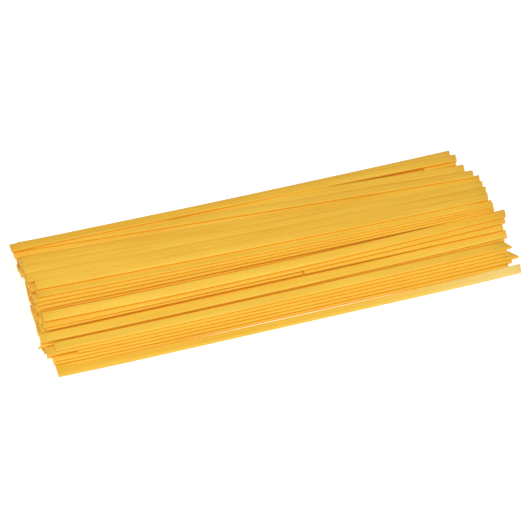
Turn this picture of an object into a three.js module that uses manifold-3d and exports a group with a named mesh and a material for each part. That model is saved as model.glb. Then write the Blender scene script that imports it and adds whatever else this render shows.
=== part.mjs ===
// A loose bundle of dry fettuccine, lying on a table. About 175 straight flat ribbons lie along X,
// heaped in layers: a gentle stepped slope at the front (-Y), a flat top, and a steep slope behind.
// The bundle is one solid: a stepped core, a little smaller than the heap, with the ribbons that show
// fused on along its slopes and its top, and the cut ends of every ribbon standing out of its ends.
// Millimetres and degrees, +Z up, the table at z = 0, the origin under the middle of the bundle.
import * as THREE from 'three';
import { mergeVertices } from 'three/addons/utils/BufferGeometryUtils.js';
import Module from 'manifold-3d';

// ---------- Driving dimensions ----------
const RIBBON_LENGTH = 253;
const RIBBON_WIDTH = 5.9;
const RIBBON_THICKNESS = 1.25;
const LAYER_HEIGHT = 1.32;        // one ribbon and the little air under it
const LENGTH_SPREAD = 1;          // a buried ribbon may be twice this much longer or shorter
const SIDE_GAP = 0.25;            // least gap between two ribbons of one layer
const SEED = 41;

// Back of the heap: its foot, and how far the top layer lies in front of the foot.
const BACK_FOOT = [100, 100.5, 102];
const BACK_LEAN = [16.9, 15.3, 12.2];
const BACK_CURVE = 2;
const TOP_LAYER = 16;
const FILLED_LAYERS = 14;
// Deep gaps show in front of the sill, the bank and the terrace: the ribbon behind keeps back there.
const KEEP_BACK = { 7: 2, 9: 0.5, 10: 2.2 };

const SLIDE = -4;                 // the buried ribbons lie this far off the middle along X
const SLIDE_SPREAD = 2;           // give or take this much
// How much further along X a ribbon's back corner reaches than its front one, at its left and right
// end: the blade ran a little askew at the right.
const SQUARE = [0, 1.8];
const SWAY = 0.25;                // random sideways shift of a buried ribbon
const BACK_SWAY = 0.8;            // and of one that shows on the back slope
const ROLL_SPREAD = 1.2;          // random lean of a buried ribbon

// The core stays inside the ribbons.
const CORE_ENDS = [-122, 113];
const CORE_INSET = 1.0;           // behind the edges of the ribbons
const CORE_DROP = 0.4;            // below their faces
const STATIONS = 5;               // sections along a ribbon or along the core
const ROOT = 4;                   // length of a cut end that is sunk in the core

// The courses that show from the front, from the table up. Each triple is a value at the left end,
// the middle and the right end. front: the front edge of the first ribbon. step: from one ribbon to
// the next. layers: each ribbon's layer at its left and right end. roll: the lean of the last ribbon,
// and firstRoll that of the first. ends: where each ribbon starts and stops along X. skew: how far
// out of square its ends are, where one was snapped instead of sawn.
const stack = (first, count) => Array.from({ length: count }, (_, i) => [first + i, first + i]);
const COURSES = [
  { name: 'rim', layers: stack(1, 1), front: [-0.8, -1.9, -0.3], roll: [6, -9, 6],
    ends: [[-128.3, 128.5]] },
  { name: 'foot', layers: stack(1, 1), front: [5, 5.45, 5.5], ends: [[-128.2, 123.6]] },
  { name: 'apron', layers: stack(2, 5), front: [6.3, 6.3, 7.5], step: [1.12, 1.2, 1.5],
    ends: [[-128.9, 126.6], [-129, 128.6], [-116, 125], [-131, 124.5], [-126.7, 126.4]],
    skew: [SQUARE, [0, -3.5], SQUARE, SQUARE, [0, -3]] },
  { name: 'prop', layers: stack(5, 2), front: [16.9, 17.2, 18.3], step: [0.7, 0.9, 1.5],
    ends: [[-130.5, 126], [-129, 127]], skew: [[9, 0], SQUARE] },
  { name: 'step', layers: stack(7, 1), front: [17.3, 17.8, 20.6], roll: [6, 5, 2], ends: [[-132.8, 128.8]] },
  { name: 'sill', layers: [[8, 8], [8, 8.6]], front: [24, 24.9, 25.8], step: [0, -0.5, -0.8],
    ends: [[-128.4, 10.9], [11, 128.4]] },
  { name: 'bank', layers: [[8.9, 9.9], [10.4, 11]], front: [24.9, 25.6, 28.4],
    step: [2.8, 1.4, 2.9], firstRoll: [3, 8.5, 1], roll: [14, 13, 2],
    ends: [[-129.5, 131], [-128.8, 132.7]] },
  { name: 'terrace', layers: [[11, 12], [12, 12.8], [13, 13.6], [14, 14.3]],
    front: [36.3, 35.5, 36], step: [1.65, 1.15, 0.95],
    ends: [[-130.6, 127.4], [-129.6, 127.6], [-131.2, 127], [-128.5, 118.7]] },
  { name: 'fan', layers: [[15, 15], [15, 15], [15, 15], [15, 15], [15, 15]], front: [46.1, 43.2, 42.4],
    step: [7, 6.2, 5.4], firstRoll: [13, 7, 2], roll: [5, 3, 2],
    ends: [[-128.3, 126.5], [-131.6, 127.8], [-131.9, 128.2], [-131.3, 128.8], [-134.8, 126.5]] },
  { name: 'crest', layers: [[16, 16], [15.2, 16]], front: [77.4, 69.5, 62.3], step: [2.8, 6.1, 6.3],
    roll: [1, 3, 3], ends: [[-134.3, 126.5], [-131.5, 123.7]] },
  { name: 'ridge', layers: [[17, 16]], front: [77, 79, 79.4], roll: [1, 1, 1], ends: [[-135.7, 123.4]] },
  // Broken pieces under the right half of the crest, one behind the other.
  { name: 'splinters', layers: [[15, 15], [15, 15], [15, 15]], front: [85, 77.5, 70.4],
    step: [-2.5, 1.9, 7.05], ends: [[29, 124.5], [102, 122.3], [20, 120.4]] },
];

// ---------- Small tools ----------
const makeDice = (seed) => {
  let state = seed;
  return (spread) => {
    state = (Math.imul(state, 1664525) + 1013904223) >>> 0;
    return spread * (2 * state / 4294967296 - 1);
  };
};
const addTriples = (a, b, times = 1) => a.map((value, i) => value + times * b[i]);
const mixTriples = (a, b, share) => a.map((value, i) => value + share * (b[i] - value));
// A smooth curve through the three values, read at x.
const along = ([left, middle, right], x) => {
  const s = x / (RIBBON_LENGTH / 2);
  return middle + (right - left) / 2 * s + ((left + right) / 2 - middle) * s * s;
};

// ---------- Where every ribbon lies ----------
const FLAT = [0, 0, 0];
// The ribbons of the courses, one by one.
const SHOWN = COURSES.flatMap((course) => {
  const { layers, front, step = FLAT, roll = FLAT, firstRoll = FLAT, ends, skew = [] } = course;
  return layers.map(([left, right], i) => ({
    layers: [left, right],
    front: addTriples(front, step, i),
    roll: mixTriples(firstRoll, roll, layers.length > 1 ? i / (layers.length - 1) : 1),
    ends: ends[i],
    skew: skew[i],
  }));
});
const inLayer = (layer) => ({ layers }) => Math.round(layers[0]) === layer;
// The heap's front edge in a layer, leaving out the rim, and the last front edge placed by hand there.
const frontEdge = (layer) => SHOWN.slice(1).find(inLayer(layer)).front;
const lastEdge = (layer) => SHOWN.findLast(inLayer(layer)).front;
const backEdge = (layer) => addTriples(BACK_FOOT, BACK_LEAN,
  -(((layer - 1) / (TOP_LAYER - 1)) ** BACK_CURVE));

// A ribbon is { front, roll, base, ends, skew, shows }. base is the height of its underside.
function layOut() {
  const dice = makeDice(SEED);
  const ribbons = [];
  const lay = ({ layers, front, roll, ends, skew = SQUARE, shows = true }) => {
    const [left, right] = layers.map((layer) => (layer - 1) * LAYER_HEIGHT);
    ribbons.push({ front, roll, base: [left, (left + right) / 2, right], ends, skew, shows });
  };
  SHOWN.forEach(lay);
  const pitch = RIBBON_WIDTH + SIDE_GAP;
  for (let layer = 1; layer <= FILLED_LAYERS; layer += 1) {
    const start = lastEdge(layer).map((edge) => edge + pitch + (KEEP_BACK[layer] ?? 0));
    const end = backEdge(layer).map((edge) => edge - RIBBON_WIDTH);
    const last = Math.floor(Math.min(...start.map((edge, i) => end[i] - edge)) / pitch);
    for (let i = 0; i <= last; i += 1) {
      const shows = i === last;
      const sway = dice(shows ? BACK_SWAY : SWAY);
      const lean = dice(ROLL_SPREAD);
      const front = mixTriples(start, end, i / last).map((edge) => edge + sway);
      const slide = SLIDE + dice(SLIDE_SPREAD);
      const half = RIBBON_LENGTH / 2 + dice(LENGTH_SPREAD);
      const ends = [slide - half, slide + half];
      lay({ layers: [layer, layer], front, roll: [lean, lean, lean], ends, shows });
    }
  }
  return ribbons;
}

// ---------- Solids ----------
// A prism through sections of equally many points, [x, y, z] each, listed from the left end, every
// section turning from +Y to +Z. The sides are strips of triangles and ShapeUtils closes the ends.
function loft(sections) {
  const count = sections[0].length;
  const faces = [];
  for (let s = 0; s + 1 < sections.length; s += 1) {
    for (let p = 0; p < count; p += 1) {
      const a = s * count + p;
      const b = s * count + (p + 1) % count;
      faces.push(a, b, b + count, a, b + count, a + count);
    }
  }
  const outline = sections[0].map(([, y, z]) => new THREE.Vector2(y, z));
  const lastStart = (sections.length - 1) * count;
  for (const [a, b, c] of THREE.ShapeUtils.triangulateShape(outline, [])) {
    faces.push(a, c, b, lastStart + a, lastStart + b, lastStart + c);
  }
  const geometry = new THREE.BufferGeometry();
  geometry.setAttribute('position', new THREE.Float32BufferAttribute(sections.flat(2), 3));
  geometry.setIndex(faces);
  return geometry;
}

const spread = (from, to, count) => Array.from({ length: count },
  (_, i) => THREE.MathUtils.lerp(from, to, i / (count - 1)));

// The four corners of a ribbon at x: it leans about its lower edge, the front one if it leans back.
function ribbonSection(ribbon, x) {
  const skew = ribbon.skew[ribbon.ends.indexOf(x)] ?? 0;
  const lean = THREE.MathUtils.degToRad(along(ribbon.roll, x));
  const [cos, sin] = [Math.cos(lean), Math.sin(lean)];
  const y = along(ribbon.front, x) + (lean < 0 ? RIBBON_WIDTH * (1 - cos) : 0);
  const z = along(ribbon.base, x) - (lean < 0 ? RIBBON_WIDTH * sin : 0);
  const corner = (wide, thick) => [x + skew * (wide / RIBBON_WIDTH - 0.5),
    y + wide * cos - thick * sin, z + wide * sin + thick * cos];
  return [corner(0, 0), corner(RIBBON_WIDTH, 0), corner(RIBBON_WIDTH, RIBBON_THICKNESS),
    corner(0, RIBBON_THICKNESS)];
}
const ribbonPiece = (ribbon, from, to, stations) => loft(spread(from, to, stations)
  .map((x) => ribbonSection(ribbon, x)));

// The core's outline at x: up the front in steps, one for each layer, and down the back.
function coreSection(x) {
  const layers = Array.from({ length: TOP_LAYER }, (_, i) => i + 1);
  const top = (layer) => layer * LAYER_HEIGHT - CORE_DROP;
  const rise = (edge) => layers.flatMap((layer) => [
    [x, edge(layer), layer > 1 ? top(layer - 1) : 0], [x, edge(layer), top(layer)]]);
  const front = rise((layer) => along(frontEdge(layer), x) + CORE_INSET);
  const back = rise((layer) => along(backEdge(layer), x) - CORE_INSET - BACK_SWAY);
  return [...back, ...front.reverse()];
}

const wasm = await Module();
wasm.setup();

function solid(geometry) {
  const merged = mergeVertices(geometry, 1e-4);
  return new wasm.Manifold(new wasm.Mesh({
    numProp: 3,
    vertProperties: new Float32Array(merged.attributes.position.array),
    triVerts: new Uint32Array(merged.index.array),
  }));
}

function bundle() {
  const [left, right] = CORE_ENDS;
  let body = solid(loft(spread(left, right, STATIONS).map(coreSection)));
  for (const ribbon of layOut()) {
    if (ribbon.shows) {
      body = body.add(solid(ribbonPiece(ribbon, ...ribbon.ends, STATIONS)));
    } else {
      body = body.add(solid(ribbonPiece(ribbon, ribbon.ends[0], left + ROOT, 2)));
      body = body.add(solid(ribbonPiece(ribbon, right - ROOT, ribbon.ends[1], 2)));
    }
  }
  const { vertProperties, triVerts } = body.getMesh();
  const geometry = new THREE.BufferGeometry();
  geometry.setAttribute('position', new THREE.BufferAttribute(vertProperties, 3));
  geometry.setIndex(new THREE.BufferAttribute(triVerts, 1));
  geometry.computeBoundingBox();
  const centre = geometry.boundingBox.getCenter(new THREE.Vector3());
  geometry.translate(-centre.x, -centre.y, -geometry.boundingBox.min.z);
  geometry.computeVertexNormals();
  return geometry;
}

// ---------- The part ----------
const pasta = new THREE.MeshStandardMaterial({ color: '#f3be46', roughness: 0.55, metalness: 0 });
const mesh = new THREE.Mesh(bundle(), pasta);
mesh.name = 'fettuccine_bundle';

const group = new THREE.Group();
group.add(mesh);
export default group;
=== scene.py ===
# %% [markdown]
# # A loose bundle of dry fettuccine
#
# Long flat ribbons of egg-yellow pasta lie side by side on a pale table, heaped in layers. The heap
# climbs in small steps from one pale ribbon at the front to a flat top, and falls off steeply behind.
# We make every one of its ribbons at full length, because a heap like this is only as good as its cut
# ends and the thin dark gaps between its layers, and a picture painted on a block has neither.
#
# The order of work: load the measured solid, say where each ribbon lies, sweep all the ribbons into
# one mesh with numpy, give the pasta its finish, and then light it and set the camera.

# %% Load the measured solid
import math

import bpy
import numpy as np
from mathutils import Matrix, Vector


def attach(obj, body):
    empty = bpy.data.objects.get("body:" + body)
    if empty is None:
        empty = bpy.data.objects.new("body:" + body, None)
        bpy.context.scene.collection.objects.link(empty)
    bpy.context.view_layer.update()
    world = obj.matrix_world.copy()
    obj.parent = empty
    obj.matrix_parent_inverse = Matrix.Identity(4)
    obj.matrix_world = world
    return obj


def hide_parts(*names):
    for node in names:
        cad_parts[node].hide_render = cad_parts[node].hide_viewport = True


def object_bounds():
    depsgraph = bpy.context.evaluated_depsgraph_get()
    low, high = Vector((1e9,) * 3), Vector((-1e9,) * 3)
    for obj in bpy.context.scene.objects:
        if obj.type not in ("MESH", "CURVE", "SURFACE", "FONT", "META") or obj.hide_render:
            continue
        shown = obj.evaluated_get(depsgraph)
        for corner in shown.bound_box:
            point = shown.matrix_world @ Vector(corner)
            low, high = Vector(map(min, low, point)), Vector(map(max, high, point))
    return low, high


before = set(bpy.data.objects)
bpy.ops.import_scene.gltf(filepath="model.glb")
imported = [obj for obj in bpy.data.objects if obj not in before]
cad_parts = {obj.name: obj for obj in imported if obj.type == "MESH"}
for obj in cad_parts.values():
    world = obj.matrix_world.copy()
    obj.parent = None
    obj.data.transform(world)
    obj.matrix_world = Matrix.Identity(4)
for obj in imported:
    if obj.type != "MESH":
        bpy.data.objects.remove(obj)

NODE = "fettuccine_bundle"
cad_low, cad_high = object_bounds()
print("The solid reaches from", np.round(cad_low, 4), "to", np.round(cad_high, 4))

# %% [markdown]
# ## What a ribbon measures
#
# Long fettuccine is sold cut to about 255 mm. It is a flat strip, 5.9 mm wide and a little over a
# millimetre thick, and it dries almost straight. No two are quite alike: the width wanders by a tenth
# of a millimetre, and the saw leaves one ribbon a millimetre or two longer than the next. We keep these
# sizes in millimetres, as a pasta maker would say them, and turn the finished mesh into metres at the end.

# %% Sizes of one ribbon and of the heap, in millimetres and degrees
MM = 0.001
RIBBON_LENGTH = 253.0
RIBBON_WIDTH = 5.9
RIBBON_THICKNESS = 1.25
LAYER_HEIGHT = 1.32          # one ribbon and the little air under it
LENGTH_SPREAD = 1.0          # a buried ribbon may be twice this much longer or shorter
SIDE_GAP = 0.25              # least gap between two ribbons of one layer
SEED = 41

BACK_FOOT = np.array([100.0, 100.5, 102.0])     # back edge on the table: left end, middle, right end
BACK_LEAN = np.array([16.9, 15.3, 12.2])        # how far the top layer lies in front of it
BACK_CURVE = 2                                  # the lean grows with this power of the height
TOP_LAYER = 16
FILLED_LAYERS = 14                              # the layers that are filled by rule behind the courses
KEEP_BACK = {7: 2.0, 9: 0.5, 10: 2.2}           # how far the ribbon behind a deep gap keeps back

SLIDE = -4.0                 # the buried ribbons lie this far off the middle along X
SLIDE_SPREAD = 2.0           # give or take this much
SQUARE = (0.0, 1.8)          # how much further along X a back corner reaches, at the left and right end
SWAY = 0.25                  # chance sideways shift of a buried ribbon
BACK_SWAY = 0.8              # and of one that shows on the back slope
ROLL_SPREAD = 1.2            # chance lean of a buried ribbon
print(f"{TOP_LAYER} layers stand {TOP_LAYER * LAYER_HEIGHT:.1f} mm high, and the ridge lies across them")

# %% [markdown]
# ## Where the ribbons lie
#
# The ribbons that show from the front were laid course by course, as one would describe the
# heap to somebody on the telephone: a rim that lies alone on the table with its foot behind it, an
# apron of five stepped edges on two props, one broad step, a sill of two pieces, a bank, a terrace of
# four, a fan of ribbons that spreads towards the left, the crest, the ridge and a few broken pieces.
# Each triple of numbers holds a value at the left end, the middle and the right end, and a parabola
# joins them, so a ribbon can bow and twist a little. A tone is how pale a ribbon looks, from 0 to 1.
# Here it is partly the ribbon's own tone and partly painted light: the front courses are given paler
# tones because more light falls on them. Above 1 a ribbon is as pale as the rim, which is painted
# light from the table shining through it. Everything behind and below is filled by a rule.
#
# One could drop the ribbons with a rigid body simulation instead, but then nobody could say where a
# given ribbon ends up, and the heap has to be the same each time.

# %% The courses that show
FLAT = np.zeros(3)


def stack(first, count):
    """Layers first, first + 1 and so on: the same at a ribbon's left and right end."""
    return [(first + i, first + i) for i in range(count)]


# Tones are partly painted light: the front courses are paler, as more light falls on them, and a tone past
# 1 paints the table's light shining through the rim.
COURSES = [
    dict(name="rim", layers=stack(1, 1), front=[-0.8, -1.9, -0.3], roll=[6, -9, 6], ends=[(-128.3, 128.5)],
         tones=[[0.55, 0.95, 1.85]]),
    dict(name="foot", layers=stack(1, 1), front=[5.0, 5.45, 5.5], ends=[(-128.2, 123.6)], tones=[0.5]),
    dict(name="apron", layers=stack(2, 5), front=[6.3, 6.3, 7.5], step=[1.12, 1.2, 1.5],
         ends=[(-128.9, 126.6), (-129.0, 128.6), (-116.0, 125.0), (-131.0, 124.5), (-126.7, 126.4)],
         skew=[SQUARE, (0.0, -3.5), SQUARE, SQUARE, (0.0, -3.0)],
         tones=[0.6, 0.65, 0.6, 0.65, [1.0, 1.0, 0.5]]),
    dict(name="prop", layers=stack(5, 2), front=[16.9, 17.2, 18.3], step=[0.7, 0.9, 1.5],
         ends=[(-130.5, 126.0), (-129.0, 127.0)], skew=[(9.0, 0.0), SQUARE], tones=[0.4, 0.4]),
    dict(name="step", layers=stack(7, 1), front=[17.3, 17.8, 20.6], roll=[6, 5, 2], ends=[(-132.8, 128.8)],
         tones=[[0.7, 0.75, 1.0]]),
    dict(name="sill", layers=[(8, 8), (8, 8.6)], front=[24.0, 24.9, 25.8], step=[0, -0.5, -0.8],
         ends=[(-128.4, 10.9), (11.0, 128.4)], tones=[0.6, 0.65]),
    dict(name="bank", layers=[(8.9, 9.9), (10.4, 11)], front=[24.9, 25.6, 28.4],
         step=[2.8, 1.4, 2.9], first_roll=[3, 8.5, 1], roll=[14, 13, 2],
         ends=[(-129.5, 131.0), (-128.8, 132.7)],
         tones=[0.5, [0.8, 0.8, 0.3]]),
    dict(name="terrace", layers=[(11, 12), (12, 12.8), (13, 13.6), (14, 14.3)],
         front=[36.3, 35.5, 36.0], step=[1.65, 1.15, 0.95],
         ends=[(-130.6, 127.4), (-129.6, 127.6), (-131.2, 127.0), (-128.5, 118.7)],
         tones=[0.35, 0.4, 0.45, 0.5]),
    dict(name="fan", layers=[(15, 15)] * 5, front=[46.1, 43.2, 42.4], step=[7.0, 6.2, 5.4],
         first_roll=[13, 7, 2], roll=[5, 3, 2],
         ends=[(-128.3, 126.5), (-131.6, 127.8), (-131.9, 128.2), (-131.3, 128.8), (-134.8, 126.5)],
         tones=[0.6, 0.4, 0.55, 0.35, 0.5]),
    dict(name="crest", layers=[(16, 16), (15.2, 16)], front=[77.4, 69.5, 62.3], step=[2.8, 6.1, 6.3],
         roll=[1, 3, 3], ends=[(-134.3, 126.5), (-131.5, 123.7)], tones=[0.5, 0.5]),
    dict(name="ridge", layers=[(17, 16)], front=[77.0, 79.0, 79.4], roll=[1, 1, 1], ends=[(-135.7, 123.4)],
         tones=[[0.3, 0.45, 0.6]]),
    # Broken pieces under the right half of the crest, one behind the other. The middle one is a chip
    # that starts where the other two leave room for it.
    dict(name="splinters", layers=[(15, 15)] * 3, front=[85.0, 77.5, 70.4], step=[-2.5, 1.9, 7.05],
         ends=[(29.0, 124.5), (102.0, 122.3), (20.0, 120.4)], tones=[0.5, 0.5, 0.5]),
]


def single_ribbons(course):
    """Takes a course apart: ribbon i has the first front edge plus i steps, and a mixed lean."""
    count = len(course["layers"])
    first, last = (np.array(course.get(key, FLAT), float) for key in ("first_roll", "roll"))
    skews = course.get("skew", [SQUARE] * count)
    rows = zip(course["layers"], course["ends"], skews, course["tones"])
    for i, (layers, ends, skew, tone) in enumerate(rows):
        share = i / (count - 1) if count > 1 else 1.0
        front = np.array(course["front"], float) + i * np.array(course.get("step", FLAT))
        roll = first + share * (last - first)
        yield dict(layers=layers, front=front, roll=roll, ends=ends, skew=skew, tone=tone + FLAT)


SHOWN = [ribbon for course in COURSES for ribbon in single_ribbons(course)]
print(len(COURSES), "courses hold", len(SHOWN), "ribbons laid by eye")

# %% [markdown]
# ## Filling the heap
#
# Behind the last ribbon that was listed, each layer is filled with ribbons spaced evenly up to the
# back slope. Chance moves them a little, from a small dice of our own: the same three whole numbers in
# any language give the same throws, so the measured solid and these ribbons agree.

# %% Lay every ribbon
DICE_TIMES, DICE_PLUS, DICE_RANGE = 1664525, 1013904223, 2 ** 32


def make_dice(seed):
    """Throws between -spread and +spread. The state is multiplied, added to and kept in its range."""
    state = seed

    def throw(spread):
        nonlocal state
        state = (state * DICE_TIMES + DICE_PLUS) % DICE_RANGE
        return spread * (2 * state / DICE_RANGE - 1)
    return throw


def edge_in(layer, ribbons):
    """The front edge of the first of these ribbons whose left end lies in a layer."""
    return next(ribbon["front"] for ribbon in ribbons if round(ribbon["layers"][0]) == layer)


def back_edge(layer):
    """The back slope: its foot, less a lean that grows as the square of the height."""
    return BACK_FOOT - BACK_LEAN * ((layer - 1) / (TOP_LAYER - 1)) ** BACK_CURVE


def lay_out():
    """Starts with the listed ribbons, then fills the layers. Returns one row for each ribbon."""
    throw = make_dice(SEED)
    rows = []

    def lay(layers, front, roll, ends, skew=SQUARE, tone=FLAT):
        left, right = ((layer - 1) * LAYER_HEIGHT for layer in layers)
        rows.append(dict(front=front, roll=roll, base=[left, (left + right) / 2, right],
                         start=ends[0], end=ends[1], skew=skew, tone=tone))

    for ribbon in SHOWN:
        lay(**ribbon)
    pitch = RIBBON_WIDTH + SIDE_GAP
    for layer in range(1, FILLED_LAYERS + 1):
        first = edge_in(layer, reversed(SHOWN)) + pitch + KEEP_BACK.get(layer, 0.0)
        final = back_edge(layer) - RIBBON_WIDTH
        last = math.floor(min(final - first) / pitch)
        for i in range(last + 1):
            sway = throw(BACK_SWAY if i == last else SWAY)
            lean = throw(ROLL_SPREAD)
            front = first + (final - first) * i / last + sway
            slide = SLIDE + throw(SLIDE_SPREAD)
            half = RIBBON_LENGTH / 2 + throw(LENGTH_SPREAD)
            lay((layer, layer), front, FLAT + lean, (slide - half, slide + half))
    return {key: np.array([row[key] for row in rows], float) for key in rows[0]}


heap = lay_out()
print(len(heap["start"]), "ribbons,", len(SHOWN), "of them laid by eye")

# %% [markdown]
# ## The shape of one ribbon
#
# A ribbon is cut from a rolled sheet, so its section is a rectangle with corners that are barely
# rounded. As it dries, the skin pulls tight and the middle of each face sinks by a hair. That hollow
# and the rounded corner are what catch the light along an edge. We describe the section as one closed
# outline of sixteen points that every ribbon shares.

# %% The section of a ribbon
CORNER = 0.22                # radius of the long edges
HOLLOW = 0.05                # how far the middle of a face sinks
HOLLOW_FROM = 0.36           # how far across a face the hollow is full, as a share of the width
ARC = np.radians([0, 45, 90])


def section_outline(width, thickness):
    """Four corner arcs, with two hollowed points between them on each face, from +Y round to +Z."""
    centres = [(width - CORNER, CORNER, -90), (width - CORNER, thickness - CORNER, 0),
               (CORNER, thickness - CORNER, 90), (CORNER, CORNER, 180)]
    arcs = [np.stack([across + CORNER * np.cos(ARC + math.radians(turn)),
                      up + CORNER * np.sin(ARC + math.radians(turn))], 1) for across, up, turn in centres]
    face = width * np.array([HOLLOW_FROM, 1 - HOLLOW_FROM])
    top = np.stack([face[::-1], np.full(2, thickness - HOLLOW)], 1)
    bottom = np.stack([face, np.full(2, HOLLOW)], 1)
    return np.concatenate([arcs[0], arcs[1], top, arcs[2], arcs[3], bottom])


OUTLINE = section_outline(RIBBON_WIDTH, RIBBON_THICKNESS)
print("The section has", len(OUTLINE), "points")

# %% [markdown]
# ## How a ribbon changes along its length
#
# A ribbon that dries on a rack is never quite straight or quite even. Its large bends are the parabolas
# of the courses. Its small ones are slow waves, each a mixture of a few sines, with another mixture for
# each ribbon. A noise table would do as well, but sines stay smooth however closely they are read.

# %% Curves along a ribbon
WAVES = 3                    # sines in a slow wave
WAVE_LOW, WAVE_HIGH = 0.6, 1.4      # sine k makes between these times k turns along a ribbon
look = np.random.default_rng(SEED)


def parabola(triples, x):
    """A smooth curve through the values at the left end, the middle and the right end, read at x."""
    s = x / (RIBBON_LENGTH / 2)
    left, middle, right = (triples[:, [i]] for i in range(3))
    return middle + (right - left) / 2 * s + ((left + right) / 2 - middle) * s ** 2


def slow_wave(x, height):
    """The height times the mean of a few sines of random length and phase, sine k being 1 / k high."""
    total = np.zeros_like(x)
    for k in range(1, WAVES + 1):
        turns, phase = look.uniform(WAVE_LOW * k, WAVE_HIGH * k, (2, len(x), 1))
        total += np.sin(2 * math.pi * (turns * x / RIBBON_LENGTH + phase)) / k
    return height * total / WAVES


bows = np.ptp(np.array([ribbon["front"] for ribbon in SHOWN]), axis=1)
print(f"Front edges laid by eye run up to {bows.max():.1f} mm off the line along X")

# %% [markdown]
# ## Sweeping all ribbons at once
#
# A ribbon's surface is a function of two parameters: how far along it we are, and how far round its
# section. With numpy we work out all the ribbons together, as one array of ribbon by station by point
# of the section. Each end gets a small bevel and a cut that is a little askew, since a blade or a snap
# never leaves a true square. At the right end the saw ran askew, and each ribbon's back corner sticks out.

# %% Sweep the ribbons
STATIONS = 21                # stations along a ribbon, between its bevels
BEVEL = 0.14                 # length and depth of the bevel at a cut end
CUT_SKEW = 0.35              # how far a sawn end is out of square across the width
WIDTH_WANDER = 0.12          # slow change of width
RIPPLE = 0.05                # slow wave of the whole ribbon, up and down
BOW = 0.06                   # and sideways


def sweep(heap):
    """Points of ribbon n, station s and outline point p, as an array of N x S x P x 3, in millimetres.

    The outline takes the ribbon's width at each station and turns by the lean about its lower edge.
    It is then set on the parabolas of the front edge and the base, with slow waves added. At a cut end
    it shrinks by the bevel, and a point moves along X by the skew times how far across it lies."""
    share = np.concatenate([[0, 0], np.linspace(0, 1, STATIONS)[1:-1], [1, 1]])
    inset = np.zeros(STATIONS + 2)
    inset[[0, -1]] = 1.0
    inward = np.zeros(STATIONS + 2)
    inward[1], inward[-2] = BEVEL, -BEVEL
    start, end = heap["start"][:, None], heap["end"][:, None]
    x = start + (end - start) * share + inward
    width = RIBBON_WIDTH - WIDTH_WANDER / 2 + slow_wave(x, WIDTH_WANDER / 2)
    centre = OUTLINE.mean(0)
    outline = centre + (OUTLINE - centre) * (1 - inset[:, None, None] * BEVEL / centre)
    widening = (width / RIBBON_WIDTH)[..., None]
    across = RIBBON_WIDTH / 2 + (outline[None, ..., 0] - RIBBON_WIDTH / 2) * widening
    up = np.broadcast_to(outline[None, ..., 1], across.shape)
    lean = np.radians(parabola(heap["roll"], x))
    cos, sin = np.cos(lean), np.sin(lean)
    forward = lean < 0
    y = parabola(heap["front"], x) + forward * RIBBON_WIDTH * (1 - cos) + slow_wave(x, BOW)
    z = parabola(heap["base"], x) - forward * RIBBON_WIDTH * sin + slow_wave(x, RIPPLE) + RIPPLE / 2
    skew = heap["skew"].T + look.uniform(-CUT_SKEW, CUT_SKEW, (2, len(x)))
    end_shift = np.zeros(across.shape)
    tilt = across / RIBBON_WIDTH - 0.5
    for side, stations in ((0, (0, 1)), (1, (-1, -2))):
        for station in stations:
            end_shift[:, station] = skew[side][:, None] * tilt[:, station]
    return np.stack([x[..., None] + end_shift,
                     y[..., None] + across * cos[..., None] - up * sin[..., None],
                     z[..., None] + across * sin[..., None] + up * cos[..., None]], -1)


points = sweep(heap)
print("Ribbons x stations x outline points:", points.shape[:3])

# %% [markdown]
# ## Skin for every ribbon
#
# Quads join each station to the next, and a fan of triangles round one middle point closes each cut
# end, so every ribbon is a closed skin with its faces pointing out. A curve object with a bevel could
# make one ribbon, but a joined array keeps 176 of them in a single mesh.

# %% Join the points with faces
def strip_faces(count, stations, sides):
    """Quads between station s and s + 1, all ribbons at once: an array of corner numbers, 4 to a row.

    The corner at ribbon n, station s and point p has the number (n x stations + s) x sides + p."""
    ribbon, s, p = np.meshgrid(np.arange(count), np.arange(stations - 1), np.arange(sides), indexing="ij")
    here = (ribbon * stations + s) * sides
    ahead = here + sides
    following = (p + 1) % sides
    return np.stack([here + p, here + following, ahead + following, ahead + p], -1).reshape(-1, 4)


def end_faces(count, stations, sides):
    """Triangles from the middle point of each cut end to its outline, turned to face outwards.

    The middle points come after all other corners, two to a ribbon: its left one, then its right one."""
    ribbon, p = np.meshgrid(np.arange(count), np.arange(sides), indexing="ij")
    middle = count * stations * sides + 2 * ribbon
    first = ribbon * stations * sides
    last = first + (stations - 1) * sides
    following = (p + 1) % sides
    left = np.stack([middle, first + following, first + p], -1)
    right = np.stack([middle + 1, last + p, last + following], -1)
    return np.concatenate([left, right]).reshape(-1, 3)


count, stations, sides = points.shape[:3]
quads, triangles = strip_faces(count, stations, sides), end_faces(count, stations, sides)
print(len(quads), "quads along the ribbons and", len(triangles), "triangles on their ends")

# %% [markdown]
# ## From numbers to a mesh
#
# The heap is moved so that its box fits the measured solid, which has its origin on the table, under
# the middle of the bundle. A wave can lift a corner out of that box by a hair, and such a corner is
# held back to it. The mesh's arrays are filled in one go, because adding corners one by one is slow.

# %% Build the mesh
SHARP = 50.0                 # degrees between two faces, past which their edge looks sharp

middles = points[:, [0, -1]].mean(2)
shift = np.array([(points[..., i].min() + points[..., i].max()) / 2 for i in range(2)] + [0.0])
corners = (np.concatenate([points.reshape(-1, 3), middles.reshape(-1, 3)]) - shift) * MM
corners = np.clip(corners, cad_low, cad_high)

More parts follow.
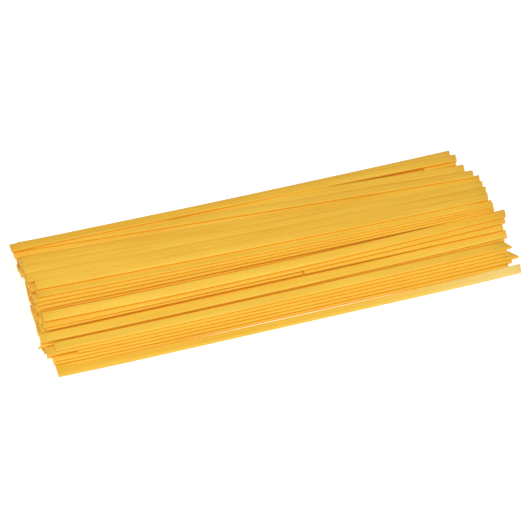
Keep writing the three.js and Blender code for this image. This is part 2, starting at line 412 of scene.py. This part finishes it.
mesh = bpy.data.meshes.new("fettuccine_ribbons")
mesh.vertices.add(len(corners))
mesh.vertices.foreach_set("co", corners.astype(np.float32).ravel())
mesh.loops.add(quads.size + triangles.size)
mesh.loops.foreach_set("vertex_index", np.concatenate([quads.ravel(), triangles.ravel()]).astype(np.int32))
face_sizes = np.concatenate([np.full(len(quads), 4), np.full(len(triangles), 3)])
mesh.polygons.add(len(face_sizes))
mesh.polygons.foreach_set("loop_start", np.concatenate([[0], np.cumsum(face_sizes)[:-1]]).astype(np.int32))
mesh.update(calc_edges=True)
mesh.validate()
mesh.shade_smooth()
mesh.set_sharp_from_angle(angle=math.radians(SHARP))
ribbons = bpy.data.objects.new("fettuccine_ribbons", mesh)
bpy.context.scene.collection.objects.link(ribbons)
print(f"{len(quads) * 2 + len(triangles)} triangles")

# %% [markdown]
# ## What the finish needs to know
#
# Each ribbon should carry its own streaks and its own shade of yellow, its cut ends should be paler
# than its skin, and its long sides should carry painted shade, deeper and more orange. So the mesh gets
# four attributes: a place measured along, across and through the ribbon, with a random start for each
# one, a tone, which for the listed ribbons also holds painted light, a mark that is 1 on a cut end, and
# one on the long sides that grows towards the underside, where the painted shade is strongest.

# %% Attributes
FAR_APART = 400.0            # how far the ribbons' random starts spread, so that no two look alike
TONE_CROWDING = 2.2          # at 1 all tones are as likely, and above it they crowd round the middle
SIDE_SHADE_FOOT, SIDE_SHADE_TOP = 1.1, 0.6      # painted shade on a long side, at its lower and at its upper edge
TOUCH = 1e-6                 # a point this near the outline's side lies on it


def add_attribute(name, values):
    """Takes ribbon x station x outline point, and gives a cut end's middle point the mean of its ring."""
    vector = values.ndim == 4
    attribute = mesh.attributes.new(name, "FLOAT_VECTOR" if vector else "FLOAT", "POINT")
    everywhere = np.concatenate([values.reshape(-1, *values.shape[3:]),
                                 values[:, [0, -1]].mean(2).reshape(-1, *values.shape[3:])])
    attribute.data.foreach_set("vector" if vector else "value", everywhere.astype(np.float32).ravel())


own = np.stack(np.broadcast_arrays(points[..., 0], OUTLINE[:, 0], OUTLINE[:, 1]), -1)
add_attribute("ribbon_place", own + look.uniform(0, FAR_APART, (count, 1, 1, 3)))

laid = len(SHOWN)
# The listed ribbons' tones also hold painted light; the rest get a random tone of their own.
tone = parabola(heap["tone"], points[..., 0].mean(2))
tone[laid:] = look.beta(TONE_CROWDING, TONE_CROWDING, (count - laid, 1))
add_attribute("ribbon_tone_and_light", np.repeat(tone[..., None], sides, 2))

cut = np.zeros((count, stations, sides))
cut[:, [0, -1]] = 1.0
add_attribute("cut_end", cut)

# Painted shade on the long sides, strongest at the underside, like the dark gaps between layers.
on_side = (OUTLINE[:, 0] < TOUCH) | (OUTLINE[:, 0] > RIBBON_WIDTH - TOUCH)
painted_side_shade = on_side * (SIDE_SHADE_FOOT - (SIDE_SHADE_FOOT - SIDE_SHADE_TOP) * OUTLINE[:, 1] / RIBBON_THICKNESS)
add_attribute("long_side_shade", np.broadcast_to(painted_side_shade, cut.shape))
print("Tones run from", round(float(tone.min()), 2), "to", round(float(tone.max()), 2))

# %% [markdown]
# ## A small language for shader maths
#
# Shader trees are sums and products, and they read best as such. The class below wraps a socket, so
# that a + b, 1 - a or a * 3 each add one Math node. Everything else comes from one method that takes a
# node's type, its settings, and the values or links of its sockets.

# %% Shader helpers
class Wire:
    """An output socket that can be added, multiplied and so on."""

    def __init__(self, finish, socket):
        self.finish, self.socket = finish, socket

    def join(self, operation, first, second):
        """Adds one Math node: first, operation, second."""
        return self.finish.node("ShaderNodeMath", dict(operation=operation), {0: first, 1: second})

    def __add__(self, other):
        return self.join("ADD", self, other)

    def __radd__(self, other):
        return self.join("ADD", other, self)

    def __sub__(self, other):
        return self.join("SUBTRACT", self, other)

    def __rsub__(self, other):
        return self.join("SUBTRACT", other, self)

    def __mul__(self, other):
        return self.join("MULTIPLY", self, other)

    def __rmul__(self, other):
        return self.join("MULTIPLY", other, self)


class Finish:
    """A material and its tree of nodes."""

    OCTAVES = 3.0            # finer and finer layers in every noise

    def __init__(self, name):
        self.material = bpy.data.materials.new(name)
        self.material.use_nodes = True
        self.tree = self.material.node_tree
        self.shader = self.tree.nodes["Principled BSDF"]

    def feed(self, socket, value):
        """Links a wire to a socket, or sets a plain value on it."""
        if isinstance(value, Wire):
            self.tree.links.new(value.socket, socket)
        else:
            socket.default_value = value

    def node(self, kind, settings=None, inputs=None, output=0):
        """Adds one node: settings first, then its sockets by name or number. Returns an output."""
        made = self.tree.nodes.new(kind)
        for key, value in (settings or {}).items():
            setattr(made, key, value)
        for key, value in (inputs or {}).items():
            self.feed(made.inputs[key], value)
        return Wire(self, made.outputs[output])

    def attribute(self, name, output="Fac"):
        """Reads one of the mesh's attributes."""
        return self.node("ShaderNodeAttribute", dict(attribute_name=name), output=output)

    def stretch(self, vector, scale):
        """Each part of a vector times its own scale."""
        settings = dict(operation="MULTIPLY")
        return self.node("ShaderNodeVectorMath", settings, {0: vector, 1: scale}, "Vector")

    def noise(self, vector, scale=1.0, harshness=0.5):
        """Random hills between 0 and 1. Harshness is how strong each octave is beside the one before."""
        inputs = {"Vector": vector, "Scale": scale, "Detail": self.OCTAVES, "Roughness": harshness}
        return self.node("ShaderNodeTexNoise", dict(noise_dimensions="3D"), inputs, "Fac")

    def ramp(self, value, low, high):
        """0 below low, 1 above high, and a smooth step between them."""
        return self.node("ShaderNodeMapRange", dict(interpolation_type="SMOOTHSTEP"),
                         {"Value": value, "From Min": low, "From Max": high}, "Result")

    def mix(self, share, first, second):
        """The first colour where the share is 0, the second where it is 1, and a blend between."""
        return self.node("ShaderNodeMix", dict(data_type="RGBA"),
                         {"Factor": share, 6: first, 7: second}, 2)

    def set(self, **sockets):
        """Feeds the shader's own sockets, by their names with _ for a space."""
        for name, value in sockets.items():
            self.feed(self.shader.inputs[name.replace("_", " ")], value)


def srgb(red, green, blue, alpha=1.0):
    """A colour as a screen says it, 0 to 255, turned into linear light: ((v + 0.055) / 1.055) ** 2.4."""
    linear = [((v / 255 + 0.055) / 1.055) ** 2.4 for v in (red, green, blue)]
    return (*linear, alpha)


print("Half grey on a screen is", round(srgb(128, 128, 128)[0], 3), "in linear light")

# %% [markdown]
# ## Dry pasta
#
# The dough is semolina and egg: a warm, clean yellow, a little paler or deeper from ribbon to ribbon.
# Its skin is smooth but not glossy, drawn out along its length, with fine pale grains of semolina in
# it. Light goes a little way in and comes out again warmer, which is why the gaps glow orange. The cut
# ends are dull and floury. We build the colour from tone, slow clouds, long streaks and specks. For
# the light inside we use a little subsurface scattering and a faint even glow. A wide scattering
# radius alone would do both, but it turns the faces olive and fills the dark gaps.

# %% The pasta's colours
DEEP = srgb(232, 174, 38)
PALE = srgb(252, 211, 78)
THIN = srgb(250, 224, 135)       # the rim, lit from below by the table
SPECK = srgb(246, 220, 140)
# painted shade: the long sides deeper and more orange than the faces
SIDE_SHADE_COLOUR = srgb(216, 157, 36)
FLOURY = srgb(240, 210, 120)
GLOW = (0.07, 0.019, 0.0, 1)     # light that has soaked through the heap
print("From deep to pale, green grows from", round(DEEP[1], 2), "to", round(PALE[1], 2))

# %% [markdown]
# ## Clouds, streaks and specks
#
# Each pattern is a noise read at the ribbon's own place, so that it follows the ribbon. A scale says
# how many hills fit in a millimetre, along, across and through the ribbon: the rollers drew the streaks
# out a hundredfold. The weights say how far tone, clouds and streaks move the colour from deep to pale.
# Painted images could show one ribbon in more detail, but not 176 different ones.

# %% The pasta's finish
CLOUD_SCALE = (0.02, 0.25, 0.25)
STREAK_SCALE = (0.03, 3.5, 3.5)
GRAIN_SCALE, GRAIN_HARSHNESS = 3.2, 0.6
TONE_WEIGHT, STREAK_WEIGHT = 0.6, 0.3          # the clouds weigh 1
SHADE_SHIFT = 0.45                             # leaves an average ribbon half way from deep to pale
RIM_TONES = (1.0, 2.0)                         # tones between which a ribbon turns as pale as the rim
SPECK_GRAIN = (0.64, 0.74)                     # heights of grain between which a speck fades in
SPECK_SHARE, SIDE_SHADE_SHARE, FLOUR_SHARE = 0.35, 0.7, 0.5
SKIN_ROUGHNESS, GRAIN_ROUGHNESS, CUT_ROUGHNESS = 0.46, 0.14, 0.2
BUMP_STRENGTH, BUMP_DEPTH = 0.25, 0.1 * MM
LIGHT_INSIDE, LIGHT_REACH = 0.15, 0.8 * MM
LIGHT_COLOURS = (1.0, 0.6, 0.3)                # shares of the reach for red, green and blue light

pasta = Finish("dry_pasta")
where = pasta.attribute("ribbon_place", "Vector")
tone_and_light_here = pasta.attribute("ribbon_tone_and_light")
cut_here = pasta.attribute("cut_end")
side_shade_here = pasta.attribute("long_side_shade")
clouds = pasta.noise(pasta.stretch(where, CLOUD_SCALE))
streaks = pasta.noise(pasta.stretch(where, STREAK_SCALE))
grain = pasta.noise(where, GRAIN_SCALE, GRAIN_HARSHNESS)
specks = pasta.ramp(grain, *SPECK_GRAIN)
shade = tone_and_light_here * TONE_WEIGHT + clouds + streaks * STREAK_WEIGHT - SHADE_SHIFT
# painted light: a tone above 1 turns a ribbon as pale as the rim, lit through by the table
skin = pasta.mix(pasta.ramp(tone_and_light_here, *RIM_TONES), pasta.mix(shade, DEEP, PALE), THIN)
skin = pasta.mix(specks * SPECK_SHARE, skin, SPECK)
# painted shade on the long sides
skin = pasta.mix(side_shade_here * SIDE_SHADE_SHARE, skin, SIDE_SHADE_COLOUR)
height = (streaks + grain) * 0.5
bump = pasta.node("ShaderNodeBump", {}, {"Strength": BUMP_STRENGTH, "Distance": BUMP_DEPTH,
                                         "Height": height}, "Normal")
pasta.set(Base_Color=pasta.mix(cut_here * FLOUR_SHARE, skin, FLOURY),
          Roughness=SKIN_ROUGHNESS + GRAIN_ROUGHNESS * grain + CUT_ROUGHNESS * cut_here,
          Normal=bump, IOR=1.48, Subsurface_Weight=LIGHT_INSIDE, Subsurface_Radius=LIGHT_COLOURS,
          Subsurface_Scale=LIGHT_REACH, Emission_Color=GLOW, Emission_Strength=1.0)
mesh.materials.append(pasta.material)
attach(ribbons, "root")
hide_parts(NODE)
print("The finish has", len(pasta.tree.nodes), "nodes")

# %% [markdown]
# ## Table and light
#
# The heap lies on a bright white table under soft studio light, so bright that its shadow almost
# drowns. We get that with a white sheet that also glows faintly, one broad lamp above the front of the
# heap, and an even white surround. The sheet is so wide that its edge stays out of the usual views.

# %% Table and light
WHITE = (1, 1, 1, 1)
TABLE_SIZE = 12.0                      # metres
TABLE_COLOUR, TABLE_ROUGHNESS, TABLE_GLOW = (0.9, 0.9, 0.9, 1), 0.9, 0.5
LAMP_PLACE, LAMP_AIM = (-0.1, -0.6, 0.9), (0, 0, 0)     # metres
LAMP_SIZE, LAMP_POWER = 0.7, 9.0       # metres and watts
SURROUND_LIGHT = 0.28


def white_table(size):
    """A square sheet at z = 0, half its size to each side."""
    sheet = bpy.data.meshes.new("table")
    half = size / 2
    corners = [(-half, -half, 0), (half, -half, 0), (half, half, 0), (-half, half, 0)]
    sheet.from_pydata(corners, [], [(0, 1, 2, 3)])
    table = bpy.data.objects.new("table", sheet)
    bpy.context.scene.collection.objects.link(table)
    paper = Finish("white_table")
    paper.set(Base_Color=TABLE_COLOUR, Roughness=TABLE_ROUGHNESS,
              Emission_Color=WHITE, Emission_Strength=TABLE_GLOW)
    sheet.materials.append(paper.material)


def lamp(name, place, aim, size, power):
    """A square lamp at a place, turned towards an aim."""
    light = bpy.data.lights.new(name, "AREA")
    light.size, light.energy = size, power
    holder = bpy.data.objects.new(name, light)
    holder.location = place
    holder.rotation_euler = (Vector(aim) - Vector(place)).to_track_quat("-Z", "Y").to_euler()
    bpy.context.scene.collection.objects.link(holder)


white_table(TABLE_SIZE)
lamp("broad_lamp", LAMP_PLACE, LAMP_AIM, LAMP_SIZE, LAMP_POWER)
surround = bpy.data.worlds.new("surround")
surround.use_nodes = True
surround.node_tree.nodes["Background"].inputs["Color"].default_value = WHITE
surround.node_tree.nodes["Background"].inputs["Strength"].default_value = SURROUND_LIGHT
bpy.context.scene.world = surround
bpy.context.scene.view_settings.view_transform = "Standard"
print(f"A table {TABLE_SIZE:.0f} m wide under a lamp of {LAMP_POWER:.0f} W")

# %% [markdown]
# ## The camera
#
# The photograph looks down at 41 degrees, with the ribbons running from near on the left to far on the
# right. A lens of about 95 mm, three quarters of a metre away, gives the same gentle perspective. These
# values were fitted to the ends of the front ribbon and of the top ribbon, and to the outline.

# %% The camera
ELEVATION = math.radians(41.0)
TURN = math.radians(17.96)
DISTANCE = 767.0                         # millimetres, as the next three are
LENS = 94.95
SENSOR = 36.0
AIM = np.array([-3.19, 49.35, 0.0])      # on the table, measured as the courses are

target = Vector((AIM - shift) * MM)
level = math.cos(ELEVATION)
away = Vector((math.sin(TURN) * level, math.cos(TURN) * level, -math.sin(ELEVATION)))
lens = bpy.data.cameras.new("camera")
lens.lens, lens.sensor_width = LENS, SENSOR
camera = bpy.data.objects.new("camera", lens)
camera.location = target - away * DISTANCE * MM
camera.rotation_euler = away.to_track_quat("-Z", "Y").to_euler()
bpy.context.scene.collection.objects.link(camera)
bpy.context.scene.camera = camera
print("The camera stands at", np.round(camera.location, 3), "m")
